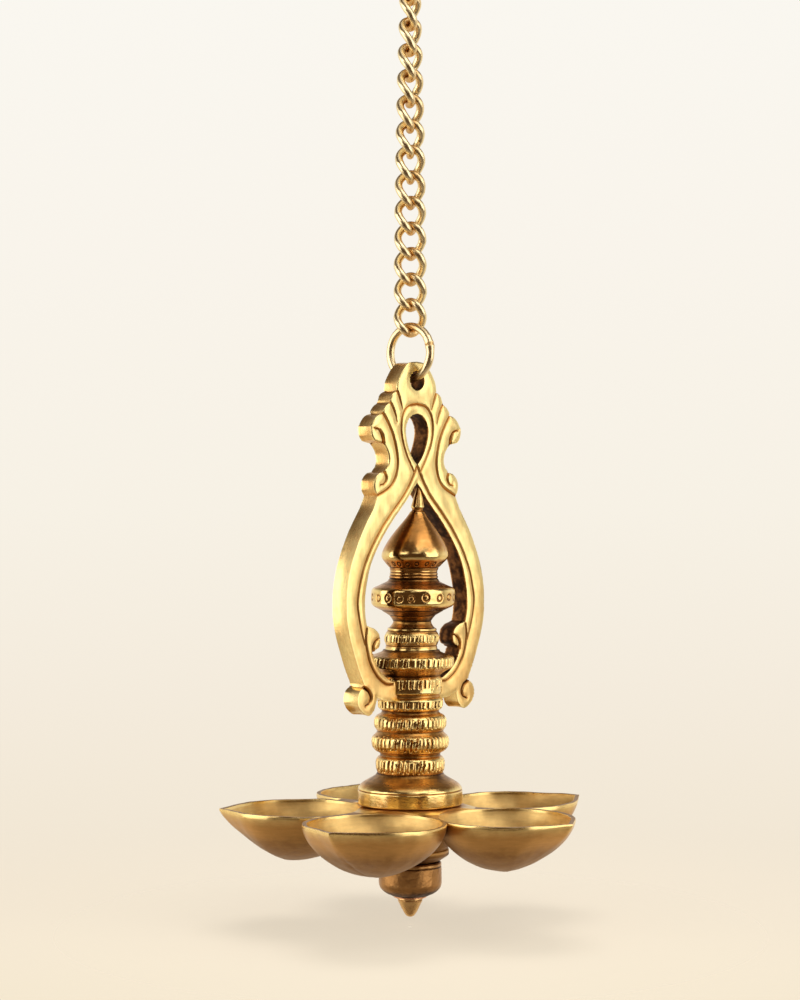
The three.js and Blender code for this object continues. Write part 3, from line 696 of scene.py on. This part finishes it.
# Lines cut into both faces, for the right half: (points, depth, half width, share of these left at the end)
GROOVES = [
    ([(0, 184), (4.7, 183.1), (7.7, 180.6), (9.4, 176.7), (9.7, 171.7), (8.7, 166.7), (6.8, 161.6),
      (4.4, 157.1), (1.7, 152.6)], 0.8, 0.65, 0.8),
    ([(0, 155.7), (1.7, 152.6), (3.5, 149.2), (5.9, 145.3), (8.9, 141.4), (13, 136.9), (17.8, 131.7),
      (22.1, 126.5), (26.5, 120.3), (30.2, 114.0), (33.1, 107.3), (34.9, 100.5), (35.8, 94.3), (35.2, 88.4),
      (33.7, 82.3), (31.5, 75.5)], 0.9, 0.75, 0.5),
    ([(30.3, 83.0), (31.0, 79.5), (30.9, 76.0), (29.9, 71.5), (28.5, 67.6), (25.4, 62.6), (21.9, 59.2),
      (18.4, 57.3), (14.6, 57.2)], 0.8, 0.65, 0.8),
    ([(26.4, 71.6), (26.7, 74.4), (25.5, 76.6), (23.9, 77.8), (22.5, 78.6)], 1.7, 0.9, 0.35),
    ([(12, 189.4), (10.9, 187.1), (9.9, 184.2), (9.1, 181.9)], 0.9, 0.7, 0.4),
    ([(16.2, 184.3), (14.6, 181.9), (13.2, 178.7), (12.5, 176.0)], 0.9, 0.7, 0.4),
    ([(20.5, 179.2), (17.5, 174.8), (14.5, 169), (12.7, 163), (11.9, 157.4), (12.7, 152.2), (14.9, 147.8),
      (18.5, 144.9), (23.9, 142.3)], 1.0, 0.75, 0.9),
    ([(20.6, 165.6), (20.9, 168.3), (22.0, 170.7), (23.4, 172.1), (25.4, 172.5)], 2.0, 1.1, 0.3),
    ([(19.9, 153.2), (18.8, 150.6), (19.1, 148.8), (20.2, 147.5), (22.0, 147.1)], 1.4, 0.85, 0.4),
    ([(32.1, 56.6), (29.4, 54.9), (27.9, 52.0), (28.8, 49.6), (30.9, 48.5)], 1.8, 1.0, 0.4),
]


def curves(parts):
    """One path along several smooth stretches. Each goes on from the corner where the one before ended."""
    path = spline(parts[0], OUTLINE_STEP)
    for before, part in zip(parts, parts[1:]):
        path = np.vstack([path, spline([before[-1], *part], OUTLINE_STEP)[1:]])
    return path


def mirrored(half, closed_low):
    """A loop from its right half, which starts on the middle line and ends there if it isn't closed low"""
    return np.vstack([half if closed_low else half[:-1], half[:0:-1] * [-1, 1]])


def inside_loops(points, loops):
    """Whether points lie inside an odd number of loops"""
    inside = np.zeros(len(points), bool)
    for loop in loops:
        start, end = loop, np.roll(loop, -1, 0)
        for (x0, y0), (x1, y1) in zip(start, end):
            crosses = (y0 > points[:, 1]) != (y1 > points[:, 1])
            if y0 != y1:
                inside ^= crosses & (points[:, 0] < (x1 - x0) * (points[:, 1] - y0) / (y1 - y0) + x0)
    return inside


def resampled(path, step):
    gone = distance_along(path)
    even = np.linspace(0, gone[-1], max(2, int(gone[-1] / step) + 1))
    return np.stack([np.interp(even, gone, path[:, 0]), np.interp(even, gone, path[:, 1])], 1)


def point_tree(points):
    """A search tree over flat points"""
    tree = KDTree(len(points))
    for index, (x, y) in enumerate(points):
        tree.insert((x, y, 0), index)
    tree.balance()
    return tree


def nearest(points, paths):
    """For each point, how far the nearest of several paths is, which path that is and how far along it"""
    samples = [resampled(path, 0.12) for path in paths]
    owner = np.concatenate([np.full(len(sample), index) for index, sample in enumerate(samples)])
    share = np.concatenate([np.linspace(0, 1, len(sample)) for sample in samples])
    tree = point_tree(np.vstack(samples))
    found = [tree.find((x, y, 0)) for x, y in points]
    index = [number for _, number, _ in found]
    return np.array([away for _, _, away in found]), owner[index], share[index]


def beside(path, offset, closed):
    """The path moved sideways"""
    return path + ahead_along(path, closed)[:, ::-1] * [-1, 1] * offset


def frame_face(loops, edges, grooves, widths):
    """Points and triangles of the face: its edges, lines beside these and along the grooves, and a grid"""
    extra = []
    for edge in edges:
        for offset in EDGE_LINES:
            for side in (1, -1):
                line = beside(edge, side * offset, closed=True)[:-1]
                extra.append(line[nearest(line, edges)[0] > offset * 0.93])
    for path, width in zip(grooves, widths):
        for share in (0, 0.5, -0.5, 1, -1):
            line = beside(path, share * width, closed=False)
            extra.append(line[nearest(line, grooves)[0] > abs(share) * width * 0.9 - 0.02])
    extra = np.vstack(extra)
    extra = extra[inside_loops(extra, loops)]
    extra = extra[nearest(extra, edges)[0] > 0.07]
    extra = extra[np.unique(np.round(extra / CELL).astype(int), axis=0, return_index=True)[1]]

    x, z = np.meshgrid(np.arange(-43, 43, GRID_STEP), np.arange(43, 204.5, GRID_STEP * 0.866))
    x[1::2] += GRID_STEP / 2
    grid = np.stack([x, z], -1).reshape(-1, 2)
    grid = grid[inside_loops(grid, loops)]
    groove_away, owner, _ = nearest(grid, grooves)
    clear = (nearest(grid, edges)[0] > EDGE_CLEAR) & (groove_away > widths[owner] + GROOVE_CLEAR)
    grid = grid[clear]

    constraints, start = [], 0
    for loop in loops:
        count = len(loop)
        constraints += [(start + i, start + (i + 1) % count) for i in range(count)]
        start += count
    flat = [Vector(point) for point in np.vstack([*loops, extra, grid])]
    result = delaunay_2d_cdt(flat, constraints, [], 0, 1e-5)
    flat, triangles = np.array([tuple(point) for point in result[0]]), np.array(result[2])
    triangles = triangles[inside_loops(flat[triangles].mean(1), loops)]
    one, two, three = (flat[triangles[:, k]] for k in range(3))
    area = (two - one)[:, 0] * (three - one)[:, 1] - (two - one)[:, 1] * (three - one)[:, 0]
    triangles[area < 0] = triangles[area < 0][:, ::-1]
    return flat, triangles


def make_frame():
    """The pierced frame: two faces with the same relief, and the walls between them"""
    low, high = box_mm("pierced_frame")
    half = min(FRAME_HALF, (high[1] - low[1]) / 2)
    hole = polar(HOLE_RADIUS, circle(72), 0)[:, :2] + [0, HOLE_LEVEL]
    loops = [mirrored(curves(HEAD_CURVES), True), mirrored(curves(WINDOW_CURVES), True),
             mirrored(spline(TEAR_CURVE, OUTLINE_STEP), False), hole]
    edges = [np.vstack([loop, loop[:1]]) for loop in loops]
    grooves = [spline(np.array(knots) * [side, 1], GROOVE_STEP) for knots, *_ in GROOVES for side in (1, -1)]
    depths, widths, ends = np.repeat([cut for _, *cut in GROOVES], 2, axis=0).T
    flat, triangles = frame_face(loops, edges, grooves, widths)

    # Relief: rounded edges, grooves that grow shallow and narrow along their length, and a hammered surface
    away, edge, _ = nearest(flat, edges)
    on_edge = away < 0.03
    groove_away, owner, along = nearest(flat, grooves)
    outer_edge = np.interp(flat[:, 1], HEAD_EDGE_LEVELS, (ARM_EDGE, HEAD_EDGE))
    edge_size = np.where(edge == 0, outer_edge, INNER_EDGE)
    reach = np.clip(away / edge_size, 0, 1)
    edge_drop = edge_size * (1 - np.sqrt(np.clip(1 - (1 - reach) ** 2, 0, 1)))
    left = 1 - (1 - ends[owner]) * along ** 1.5
    across = np.clip(1 - groove_away / widths[owner] / left, 0, 1)
    cut = depths[owner] * left * across ** 1.25
    sunk = 0.32 * hump(np.minimum(away, groove_away), 1.5)
    hammered = wobble(np.column_stack([flat[:, 0], flat[:, 1] * 0, flat[:, 1]]), 7, 0.07, 44)[:, 1]
    height = np.where(on_edge, half - edge_size - 0.02, half - sunk - edge_drop - cut + hammered)
    front = np.column_stack([flat[:, 0], -height, flat[:, 1] + RIM])
    back = front * [1, -1, 1]
    # Grooves hold patina, the face darkens towards the foot, and a painted highlight runs along the edges
    groove_patina = (0.30 + 0.22 * depths[owner]) * across ** 0.7 + 0.08 * np.exp(-groove_away / 1.3)
    painted_edge_highlight = -0.12 * hump(away - 0.3, 0.4)
    patina_and_shade = 0.10 + 0.13 * np.clip((130 - flat[:, 1]) / 60, 0, 1) + groove_patina + painted_edge_highlight

    # Side walls, which bulge a little. The outline's are bright below the head, and those of the openings
    # dark.
    points, patinas = [front, back], [patina_and_shade, patina_and_shade]
    faces = [triangles, triangles[:, ::-1] + len(flat)]
    tree = point_tree(flat)
    start = 2 * len(flat)
    for index, loop in enumerate(loops):
        ring = np.array([tree.find((x, y, 0))[1] for x, y in loop])
        normal = ahead_along(loop, closed=True)[:, ::-1] * [1, -1]
        # Painted shade darkens the outline's walls towards the head
        outline_wall_patina_and_shade = 0.12 + 0.16 * np.clip((loop[:, 1] - 105) / 40, 0, 1)
        levels = [ring]
        for level in range(1, WALL_LEVELS):
            share = level / WALL_LEVELS
            row = front[ring] * (1 - share) + back[ring] * share
            bulge = math.sin(math.pi * share) * 0.45 + wobble(row, 9, 0.04, 60 + index)[:, 0]
            push = bulge[:, None] * normal * (0.6 if index == 0 else 0.4)
            points.append(row + np.column_stack([push[:, 0], np.zeros(len(row)), push[:, 1]]))
            patinas.append(outline_wall_patina_and_shade if index == 0 else np.full(len(row), 0.80))
            levels.append(start + np.arange(len(row)))
            start += len(row)
        levels.append(ring + len(flat))
        for upper, lower in zip(levels, levels[1:]):
            faces.append(np.stack([upper, np.roll(upper, -1), np.roll(lower, -1), lower], 1))
    piece = make_piece("scroll_frame", np.vstack(points), faces, "lamp", frame_brass,
                       ["pierced_frame"], np.concatenate(patinas), sharp=42)
    piece.data.materials.append(side_brass)
    piece.data.materials.append(recess_brass)
    finish = [np.zeros(2 * len(triangles))]
    finish += [np.full(WALL_LEVELS * len(loop), min(index, 1) + 1) for index, loop in enumerate(loops)]
    piece.data.polygons.foreach_set("material_index", np.concatenate(finish).astype(np.int32))
    mesh = bmesh.new()
    mesh.from_mesh(piece.data)
    bmesh.ops.recalc_face_normals(mesh, faces=mesh.faces)
    mesh.to_mesh(piece.data)
    mesh.free()


# Tray

CUP_PITCH = 53.5  # from the lamp's axis to the middle of a cup
FIRST_CUP = math.radians(61)
# The casting is uneven. For each cup: degrees that it stands off its fifth of the circle, millimetres that it
# stands off its pitch circle, degrees that its point is turned off the radius, and length of its point
UNEVEN_CUPS = [(1.5, 0.0, 0.0, 37.0), (7.0, -1.8, 3.0, 35.8), (6.0, 0.5, -14.5, 36.5), (2.0, 0.0, 2.5, 35.6),
               (-2.5, 0.3, -1.0, 37.6)]
CUP_RADIUS, CUP_DEPTH, CUP_WALL = 31.5, 23.8, 2.2
CUP_REACH = 39  # from the middle of a cup, a little past its outline
CUP_LIP = 0.3  # rounding of the mouth
NOSE, DEEP_NOSE = 0.7, 12.0  # radius of a cup's point at its rim, and well below it
CURVE, NOSE_CURVE = 1.75, 1.35  # how full a bowl's side is, and under its point (2 would be an ellipse)
RIM_BEVEL, RIM_BEVEL_HEIGHT = 0.28, 0.9
DECK = 3.0  # thickness of the web between the cups
DECK_SIDES = 250
BASE_SEAT = 24.2  # radius where the base's foot meets the deck
BOWL_SIDES, BOWL_RINGS = 200, 34


def plan(angle, radius, point, nose):
    """Reach of a cup's outline: a circle with a point on the side of angle 0, which the nose radius blunts"""
    away = np.abs(half_turn(angle))
    middle = point - nose
    tangent = np.arccos(np.clip((radius - nose) / middle, -1, 1))
    first = np.arctan2(nose * np.sin(tangent), middle + nose * np.cos(tangent))
    side = radius / np.cos(np.clip(tangent - away, 0, 1.4))
    end = middle * np.cos(away) + np.sqrt(np.clip(nose ** 2 - (middle * np.sin(away)) ** 2, 0, None))
    return np.where(away < first, end, np.where(away < tangent, side, radius))


def bowl(radius, point, depth, lip, raised):
    """A closed solid bowl with its rim at height 0. A positive lip widens its mouth and a negative one bevels
    its outer edge. A raised bowl goes on straight up from the rim."""
    angle = circle(BOWL_SIDES)
    nose_share = np.clip(1 - np.abs(half_turn(angle)) / (1.6 * math.acos(radius / point)), 0, None)
    curve = CURVE + (NOSE_CURVE - CURVE) * nose_share
    lip_size = abs(lip)
    lip_levels = lip_size / depth * (1 - np.cos(np.linspace(0, math.pi / 2, 6)))[:-1]
    levels = np.sin(np.linspace(math.asin(lip_size / depth), math.pi / 2, BOWL_RINGS))[:-1]
    rings = []
    if raised:
        rings.append(polar(plan(angle, radius, point, 0.5) + lip_size, angle, raised))
    for share in [*lip_levels, *levels]:
        nose = NOSE + (DEEP_NOSE - NOSE) * min(1, share / 0.75) ** 1.9
        reach = plan(angle, radius, point, nose) * (1 - share ** curve) ** (1 / curve)
        into_lip = np.clip(1 - share * depth / lip_size, 0, 1)
        reach = reach + (lip_size * (1 - np.sqrt(1 - into_lip ** 2)) if lip > 0 else -RIM_BEVEL * into_lip)
        rings.append(polar(reach, angle, -depth * share))
    points = np.vstack([*rings, [[0, 0, rings[0][0, 2]], [0, 0, -depth]]])
    count = len(rings) * BOWL_SIDES
    ring = np.arange(BOWL_SIDES)
    turn = np.roll(ring, -1)
    last = count - BOWL_SIDES
    side = grid_faces(len(rings), BOWL_SIDES)[:, ::-1]
    top = np.stack([ring, turn, np.full(BOWL_SIDES, count)], 1)
    floor = np.stack([last + turn, last + ring, np.full(BOWL_SIDES, count + 1)], 1)
    return points, [side, top, floor]


def cup_place(index):
    """Where the middle of a cup is, and the direction of its point"""
    off, out, turned, _ = UNEVEN_CUPS[index]
    angle = FIRST_CUP + index * TURN / len(UNEVEN_CUPS) + math.radians(off)
    return (CUP_PITCH + out) * np.array([math.cos(angle), math.sin(angle)]), angle + math.radians(turned)


def cast_tray():
    """Mesh of the round casting with its cups joined on and hollowed out"""
    web = CUP_PITCH * math.cos(math.pi / len(UNEVEN_CUPS)) - 0.8
    outside = rounded([
        (BORE, -24.4, 0), (13.2, -24.4, 0.8), (14.6, -23.4, 0.8), (17.6, -21.4, 0.8), (17.6, -19.0, 0.6),
        (17.0, -18.4, 0.5), (17.6, -17.8, 0.5), (17.6, -DECK, 0.1), (web, -DECK, 0.8), (web, 0, 0.8),
        (30.5, 0, 1.5), (22.0, PAD_HEIGHT, 2.0), (BORE, PAD_HEIGHT, 0),
    ], 1.3)
    around, level = np.meshgrid(circle(DECK_SIDES), outside[:, 1])
    points = polar(outside[:, :1], around, level + RIM).reshape(-1, 3)
    deck = plain_object("tray_casting", points, [grid_faces(len(outside), DECK_SIDES, close_rows=True)])
    tools = []
    for operation, wall, lip, raised in [("UNION", 0, -RIM_BEVEL_HEIGHT, 0),
                                         ("DIFFERENCE", CUP_WALL, CUP_LIP, PAD_HEIGHT + 1)]:
        for index, (_, _, _, point) in enumerate(UNEVEN_CUPS):
            point -= wall * point / CUP_RADIUS
            points, faces = bowl(CUP_RADIUS - wall, point, CUP_DEPTH - wall, lip, raised)
            middle, angle = cup_place(index)
            points = turned_about(points, angle) + [*middle, RIM]
            tools.append(plain_object(f"{operation.lower()}_{index}", points, faces))
            step = deck.modifiers.new(operation.lower(), "BOOLEAN")
            step.operation, step.solver, step.object = operation, "MANIFOLD", tools[-1]
    mesh = bpy.data.meshes.new_from_object(deck.evaluated_get(bpy.context.evaluated_depsgraph_get()))
    for thing in [*tools, deck]:
        data = thing.data
        bpy.data.objects.remove(thing)
        bpy.data.meshes.remove(data)
    mesh.name = "tray_casting"
    mesh.materials.clear()
    return mesh


def make_tray():
    """The tray with its cups, made uneven, with its patina, painted shade and highlight, and the directions
    of its streaks
    """
    mesh = cast_tray()
    points, normals = np.empty((2, len(mesh.vertices) * 3), np.float32)
    mesh.vertices.foreach_get("co", points)
    mesh.vertices.foreach_get("normal", normals)
    points, normals = points.reshape(-1, 3) / MM, normals.reshape(-1, 3)
    radius = np.hypot(points[:, 0], points[:, 1])
    free = np.clip((radius - BORE) / 4, 0, 1)[:, None]
    moved = points + wobble(points, 26, 0.22, 71) * free + wobble(points, 8, 0.06, 72) * free
    mesh.vertices.foreach_set("co", (moved * MM).astype(np.float32).ravel())

    middles = np.array([cup_place(index)[0] for index in range(len(UNEVEN_CUPS))])
    apart = np.hypot(points[:, None, 0] - middles[None, :, 0], points[:, None, 1] - middles[None, :, 1])
    order = np.sort(apart, 1)
    in_cup = order[:, 0] < CUP_REACH
    centre = np.where(in_cup[:, None], middles[apart.argmin(1)], 0)
    around = np.arctan2(points[:, 1] - centre[:, 1], points[:, 0] - centre[:, 0])
    streaks = np.column_stack([around * 4.5, np.where(in_cup, order[:, 0], radius), points[:, 2]])
    grain = mesh.attributes.new("round_cups", "FLOAT_VECTOR", "POINT")
    grain.data.foreach_set("vector", streaks.astype(np.float32).ravel() * MM)

    # Patina with painted light: bowls, rims, outer walls, creases between cups, the base's seat and edges
    depth, up = RIM - points[:, 2], normals[:, 2]
    inside = (up > 0.02) & (depth > 0.5)
    flat_rim = (up > 0.75) & (depth < 0.5) & (radius > 30)
    patina_and_shade = np.full(len(points), 0.10)
    # Painted shade on the flat tops of the rims
    patina_and_shade[flat_rim] = 0.62
    # Painted shade darkens the outer walls downward
    outside = 0.10 + 0.64 * np.clip((depth - 0.5) / 13, 0, 1) ** 0.8
    patina_and_shade = np.where(up < 0.3, outside, patina_and_shade)
    # Bowls darker with depth
    patina_and_shade = np.where(inside, 0.11 + 0.26 * np.clip(depth / 22, 0, 1), patina_and_shade)
    # Darker in the creases between cups
    patina_and_shade += 0.5 * np.exp(-np.abs(order[:, 1] - order[:, 0]) / 3.0) * (depth > 0.3) * ~inside
    # Painted shadow round the base's seat
    patina_and_shade += 0.5 * np.exp(-np.abs(radius - BASE_SEAT) / 1.3) * (depth < 0.5)
    # Painted highlight on the bevelled outer rim edges
    patina_and_shade -= 0.2 * (depth < RIM_BEVEL_HEIGHT) * (radius > 36) * ~flat_rim
    finish_piece("cup_tray", mesh, "lamp", tray_brass, ["oil_tray"], patina_and_shade, sharp=40)
    mesh.materials.append(bowl_brass)
    in_bowl = inside & in_cup
    for face in mesh.polygons:
        face.material_index = int(all(in_bowl[list(face.vertices)]))


make_hook()
make_chain()
make_ring()
make_column()
make_eye()
make_frame()
make_tray()
for thing in frame["nodes"].values():
    if thing.type == "MESH" and thing["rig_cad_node"] == "tie_rod":
        for place in thing.material_slots:
            place.material = knob_brass


# Studio

CAMERA_HEIGHT = RIM + 137.1
LENS_DISTANCE = 1.0118
LENS_ASIDE = 0.00466  # to the left of the lamp's axis
PIXELS_TO_LENS = 2214  # distance to the picture plane, in pixels of the picture's height
PICTURE_HEIGHT = 1000
SENSOR = 36
FLOOR_LEVEL = -0.4685
BACKDROP = [(0.08, (0.871, 0.775, 0.604)), (0.15, (0.880, 0.786, 0.638)), (0.33, (0.905, 0.831, 0.716)),
            (0.5, (0.930, 0.880, 0.783)), (0.73, (0.947, 0.905, 0.831)), (0.95, (0.956, 0.930, 0.871))]
DARK_ROOM = (0.070, 0.036, 0.016, 1)
WORLD_FILL = 0.05


def camera_setup():
    data = bpy.data.cameras.new("camera")
    data.sensor_fit, data.sensor_height = "VERTICAL", SENSOR
    data.lens = PIXELS_TO_LENS * SENSOR / PICTURE_HEIGHT
    data.shift_y = 0.007
    camera = bpy.data.objects.new("camera", data)
    camera.location = -AWAY * LENS_DISTANCE - RIGHT * LENS_ASIDE + Vector((0, 0, CAMERA_HEIGHT * MM))
    camera.rotation_euler = (math.pi / 2, 0, -VIEW_ANGLE)
    bpy.context.scene.collection.objects.link(camera)
    bpy.context.scene.camera = camera


def area_light(name, angle, elevation, distance, size, energy, tint, in_metal=True):
    """A soft rectangular lamp. The angle is in degrees from the camera's direction, positive to its right.
    One that isn't seen in the metal lights the floor alone."""
    data = bpy.data.lights.new(name, "AREA")
    data.shape, data.size, data.size_y = "RECTANGLE", *size
    data.energy, data.color = energy, tint
    light = bpy.data.objects.new(name, data)
    turn, level = math.radians(angle), math.radians(elevation)
    flat = -AWAY * math.cos(turn) + RIGHT * math.sin(turn)
    target = Vector((0, 0, (RIM + 60) * MM))
    light.location = target + (flat * math.cos(level) + Vector((0, 0, math.sin(level)))) * distance
    light.rotation_euler = (target - light.location).to_track_quat("-Z", "Y").to_euler()
    light.visible_glossy = in_metal
    bpy.context.scene.collection.objects.link(light)


def world_setup():
    """The pale backdrop that the camera sees. The metal sees it behind the lamp, and a darker room on the
    camera's side and overhead. Other rays get a weak even light."""
    world = bpy.data.worlds.new("studio")
    bpy.context.scene.world = world
    add = node_maker(world)
    direction = add("TexCoord").outputs["Generated"]
    up = add("SeparateXYZ", direction).outputs[2]
    backdrop = colour_ramp(add, add("MapRange", up, -0.25, 0.25), BACKDROP)
    toward = add("VectorMath", direction, tuple(AWAY), operation="DOT_PRODUCT").outputs["Value"]
    room = add("MapRange", toward, -0.30, 0.45, 0.0, 1.0, interpolation_type="SMOOTHSTEP")
    ceiling = add("MapRange", up, 0.20, 0.70, 1.0, 0.10, interpolation_type="SMOOTHSTEP")
    lit = add("Math", room, ceiling, operation="MULTIPLY")
    rays = add("LightPath").outputs
    seen = add("MixRGB", rays["Is Glossy Ray"], backdrop, add("MixRGB", lit, DARK_ROOM, backdrop))
    direct = add("Math", rays["Is Camera Ray"], rays["Is Glossy Ray"], operation="MAXIMUM")
    clear = add("Math", direct, rays["Is Transmission Ray"], operation="MAXIMUM")
    fill = add("Background", (1.0, 0.96, 0.9, 1), WORLD_FILL)
    add("OutputWorld", Surface=add("MixShader", clear, fill, add("Background", seen)))


def floor_setup():
    """A pale round floor just under the drip tip, which fades into the backdrop around it"""
    rings, sides = np.linspace(1, 700, 12), 96
    points = np.vstack([polar(reach, circle(sides), FLOOR_LEVEL / MM) for reach in rings])
    floor = plain_object("studio_floor", points, [grid_faces(len(rings), sides)])
    material = bpy.data.materials.new("pale_floor")
    add = node_maker(material)
    away = add("VectorMath", add("TexCoord").outputs["Object"], operation="LENGTH").outputs["Value"]
    fade = add("MapRange", away, 0.30, 0.62, 1.0, 0.0, interpolation_type="SMOOTHSTEP")
    glow = add("Emission", (0.880, 0.783, 0.634, 1), 0.440)
    chalk = add("BsdfDiffuse", (0.745, 0.665, 0.56, 1))
    mix = add("MixShader", fade, add("BsdfTransparent"), add("AddShader", glow, chalk))
    add("OutputMaterial", Surface=mix)
    floor.data.materials.append(material)


camera_setup()
world_setup()
floor_setup()
area_light("left_softbox", -76, 6, 1.15, (0.95, 1.10), 6.3, (1.0, 0.97, 0.92))
area_light("left_upper_softbox", -46, 27, 1.20, (0.70, 0.40), 1.6, (1.0, 0.96, 0.90))
area_light("front_softbox", 8, 31, 1.25, (0.50, 0.24), 0.42, (1.0, 0.96, 0.90))
area_light("right_softbox", 62, 10, 1.15, (0.95, 1.20), 6.8, (1.0, 0.97, 0.92))
area_light("upper_right_softbox", 46, 55, 1.15, (1.00, 0.50), 3.2, (1.0, 0.97, 0.93))
area_light("overhead_glow", 0, 82, 1.20, (0.8, 0.8), 1.5, (1.0, 0.96, 0.90))
area_light("top_softbox", 180, 86, 1.10, (0.6, 0.6), 5.2, (1.0, 0.97, 0.93), in_metal=False)
bpy.context.scene.view_settings.view_transform = "Standard"
